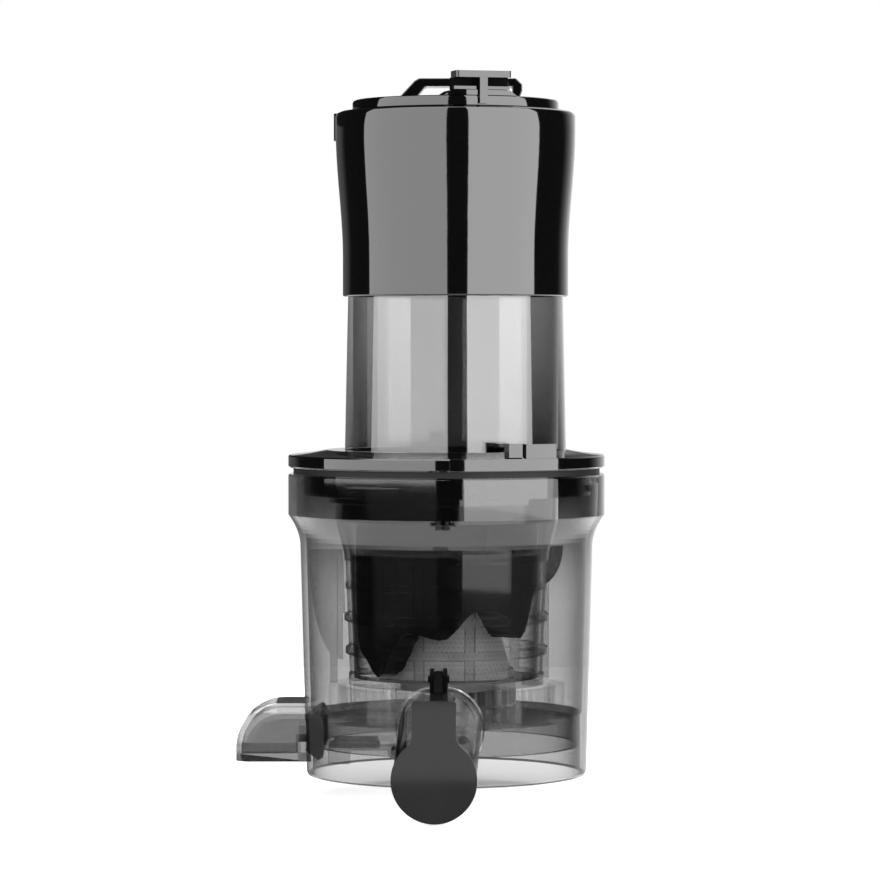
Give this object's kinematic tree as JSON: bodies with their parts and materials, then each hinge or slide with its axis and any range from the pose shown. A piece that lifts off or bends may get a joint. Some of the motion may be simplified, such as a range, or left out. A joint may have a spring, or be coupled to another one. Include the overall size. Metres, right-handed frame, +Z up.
{
  "type": "cold press juicer drum assembly",
  "caption": "Slow juicer drum with auger, strainer, wiper, cover, wide feed tube, flip lid, capped juice spout and pulp chute.",
  "frame": {"origin": "on the drum's axis, in the plane of the drum's lower rim", "axes": "+Z up along the drum's axis, juice spout towards -Y, pulp chute towards -X"},
  "size_m": [0.1468, 0.1644, 0.2866],
  "materials": {
    "smoke_clear": "polished, clear smoke",
    "black_gloss": "high gloss",
    "cap_grey": "gloss",
    "black_matte": "satin",
    "strainer_smoke": "polished, clear smoke",
    "wiper_smoke": "polished, dark smoke",
    "auger_black": "satin",
    "auger_grey": "satin",
    "gear_plastic": "satin",
    "steel": "ground",
    "silicone_pale": "soft, milky",
    "silicone_grey": "soft",
    "silicone_black": "soft"
  },
  "bodies": {
    "drum": {"drum_shell": "smoke_clear", "drum_deck": "smoke_clear", "pulp_trough": "smoke_clear", "juice_spout": "smoke_clear", "pulp_chute": "smoke_clear", "spout_hinge_post": "black_matte", "spout_hinge_pin": "steel", "shaft_seal": "silicone_pale", "idler_pin": "steel", "plug_hinge_pin": "steel", "strainer_frame": "strainer_smoke", "strainer_screen": "strainer_smoke"},
    "idler": {"idler_gear": "gear_plastic"},
    "auger": {"auger_screw": "auger_black", "auger_core": "auger_grey", "auger_shaft": "steel", "auger_gear": "auger_black"},
    "wiper": {"wiper_ring": "wiper_smoke", "wiper_blades": "silicone_pale"},
    "plug": {"pulp_plug": "silicone_grey", "plug_lever": "black_matte"},
    "cover": {"cover_plate": "black_gloss", "cover_gasket": "silicone_black", "feed_tube": "smoke_clear", "lock_tab": "black_gloss"},
    "hopper": {"hopper_sleeve": "black_gloss", "lid_hinge_pin": "steel"},
    "lid": {"lid_disc": "black_gloss", "lid_gasket": "silicone_black", "lid_grip": "black_gloss", "latch_housing": "black_gloss", "latch_pin": "steel"},
    "latch": {"lid_latch": "black_gloss"},
    "cap": {"spout_cap": "cap_grey", "spout_cap_seal": "silicone_black"}
  },
  "joints": [
    {"name": "auger_spin", "type": "hinge", "parent": "drum", "child": "auger", "pos_m": [0, 0, 0.026], "axis": [0, 0, 1], "continuous": true},
    {"name": "idler_spin", "type": "hinge", "parent": "drum", "child": "idler", "pos_m": [0.015, 0.02598, 0.026], "axis": [0, 0, 1], "continuous": true},
    {"name": "wiper_spin", "type": "hinge", "parent": "drum", "child": "wiper", "pos_m": [0, 0, 0.026], "axis": [0, 0, 1], "continuous": true},
    {"name": "plug_hinge", "type": "hinge", "parent": "drum", "child": "plug", "pos_m": [-0.021, 0, 0.009], "axis": [0, -1, 0], "range_deg": [0, 75]},
    {"name": "cover_turn", "type": "hinge", "parent": "drum", "child": "cover", "pos_m": [0, 0, 0.12], "axis": [0, 0, 1], "range_deg": [0, 40]},
    {"name": "sleeve_lift", "type": "slide", "parent": "cover", "child": "hopper", "axis": [0, 0, 1], "range_m": [0, 0.08]},
    {"name": "lid_hinge", "type": "hinge", "parent": "hopper", "child": "lid", "pos_m": [0.0036, 0.0472, 0.2681], "axis": [-1, 0, 0], "range_deg": [0, 105]},
    {"name": "latch_flip", "type": "hinge", "parent": "lid", "child": "latch", "pos_m": [0.01086, -0.02808, 0.2722], "axis": [-0.9681, -0.2504, 0], "range_deg": [0, 30]},
    {"name": "cap_hinge", "type": "hinge", "parent": "drum", "child": "cap", "pos_m": [-0.0031, -0.06342, 0.0436], "axis": [-0.9988, 0.0489, 0], "range_deg": [0, 80]}
  ],
  "couplings": [
    {"joint": "idler_spin", "follows": "auger_spin", "ratio": -1.5},
    {"joint": "wiper_spin", "follows": "auger_spin", "ratio": -0.42857}
  ]
}
